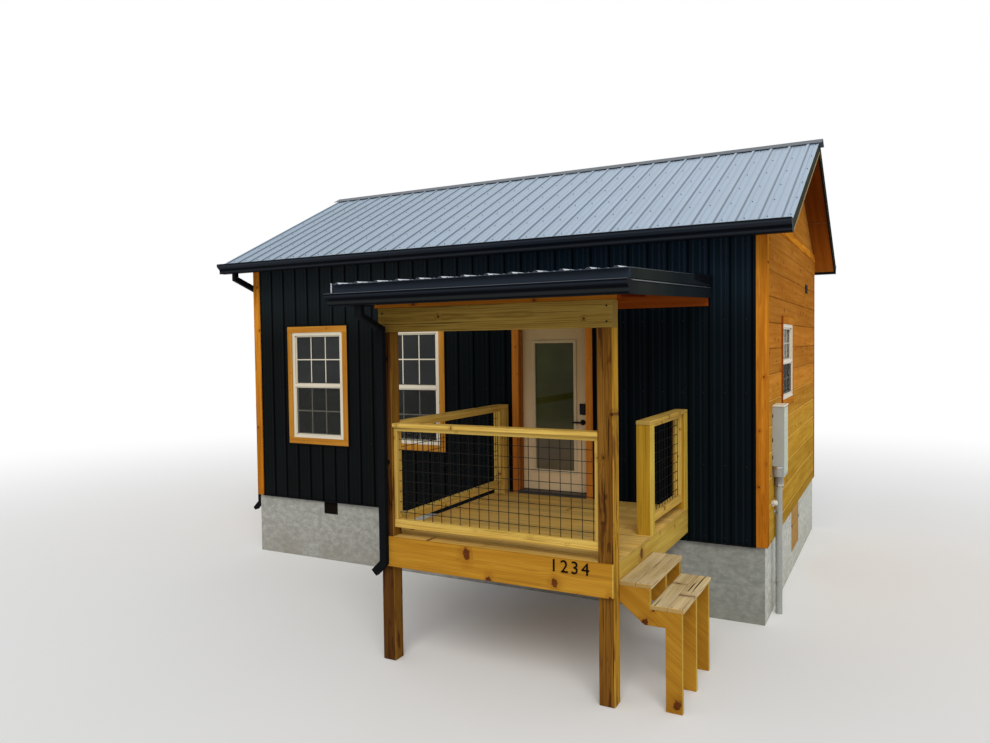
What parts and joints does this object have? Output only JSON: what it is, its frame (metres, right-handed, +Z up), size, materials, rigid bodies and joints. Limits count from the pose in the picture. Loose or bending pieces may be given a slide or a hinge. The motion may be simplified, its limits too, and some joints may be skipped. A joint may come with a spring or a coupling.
{
  "type": "tiny house",
  "caption": "Small gable-roofed house on a block foundation, with a porch, mesh railing, steps and a door that opens.",
  "frame": {"origin": "middle of the front foundation wall, on the underside of the foundation", "axes": "+X along the front to the right as seen from the porch side, +Y to the back, +Z up"},
  "size_m": [8.039, 8.3456, 5.7206],
  "materials": {
    "parged_block": "light grey parging over concrete block",
    "black_vent": "black",
    "hatch_boards": "honey stain",
    "framing": "bare softwood and board",
    "wall_lining": "sheathing outside, pale lining inside",
    "charcoal_siding": "satin black paint",
    "stained_boards": "orange cedar stain",
    "stained_trim": "orange cedar stain",
    "white_vinyl": "white vinyl",
    "window_glass": "clear insulating glass",
    "cream_paint": "satin cream paint",
    "dark_sill": "dark anodised",
    "black_hardware": "satin black",
    "roof_metal": "charcoal, semi-gloss",
    "black_trim": "black, semi-gloss",
    "grey_box": "grey enamel",
    "treated_pine": "honey treated pine",
    "deck_wood": "weathered treated pine",
    "mesh_wire": "black coated wire"
  },
  "bodies": {
    "house": {"foundation_long_walls": "parged_block", "foundation_end_walls": "parged_block", "vents": "black_vent", "crawl_hatch": "hatch_boards", "floor_platform": "framing", "front_wall_left": "wall_lining", "front_wall_right": "wall_lining", "front_wall_over_door": "wall_lining", "back_wall": "wall_lining", "left_wall": "wall_lining", "right_wall": "wall_lining", "metal_siding": "charcoal_siding", "board_siding": "stained_boards", "trim_boards": "stained_trim", "window_frames": "white_vinyl", "window_glass": "window_glass", "casings": "stained_trim", "door_frame": "stained_trim", "door_threshold": "dark_sill", "roof_frame_front": "framing", "roof_frame_back": "framing", "roof_metal": "roof_metal", "ridge_cap": "roof_metal", "roof_edge_trim": "black_trim", "gutters": "black_trim", "downspouts": "black_trim", "electric_meter": "grey_box", "porch_posts": "treated_pine", "porch_beam": "treated_pine", "porch_roof_frame": "stained_trim", "porch_roof_metal": "roof_metal", "porch_roof_trim": "black_trim", "deck_frame": "treated_pine", "deck_boards": "deck_wood", "front_rail": "treated_pine", "left_rail": "treated_pine", "right_rail": "treated_pine", "front_rail_mesh": "mesh_wire", "left_rail_mesh": "mesh_wire", "right_rail_mesh": "mesh_wire", "step_stringers": "treated_pine", "step_treads": "deck_wood"},
    "door": {"entry_door": "cream_paint", "door_glass": "window_glass", "door_hardware": "black_hardware"}
  },
  "joints": [
    {"name": "door_hinge", "type": "hinge", "parent": "house", "child": "door", "pos_m": [0.7485, 0.0085, 1.272], "axis": [0, 0, 1], "range_deg": [0, 110]}
  ]
}
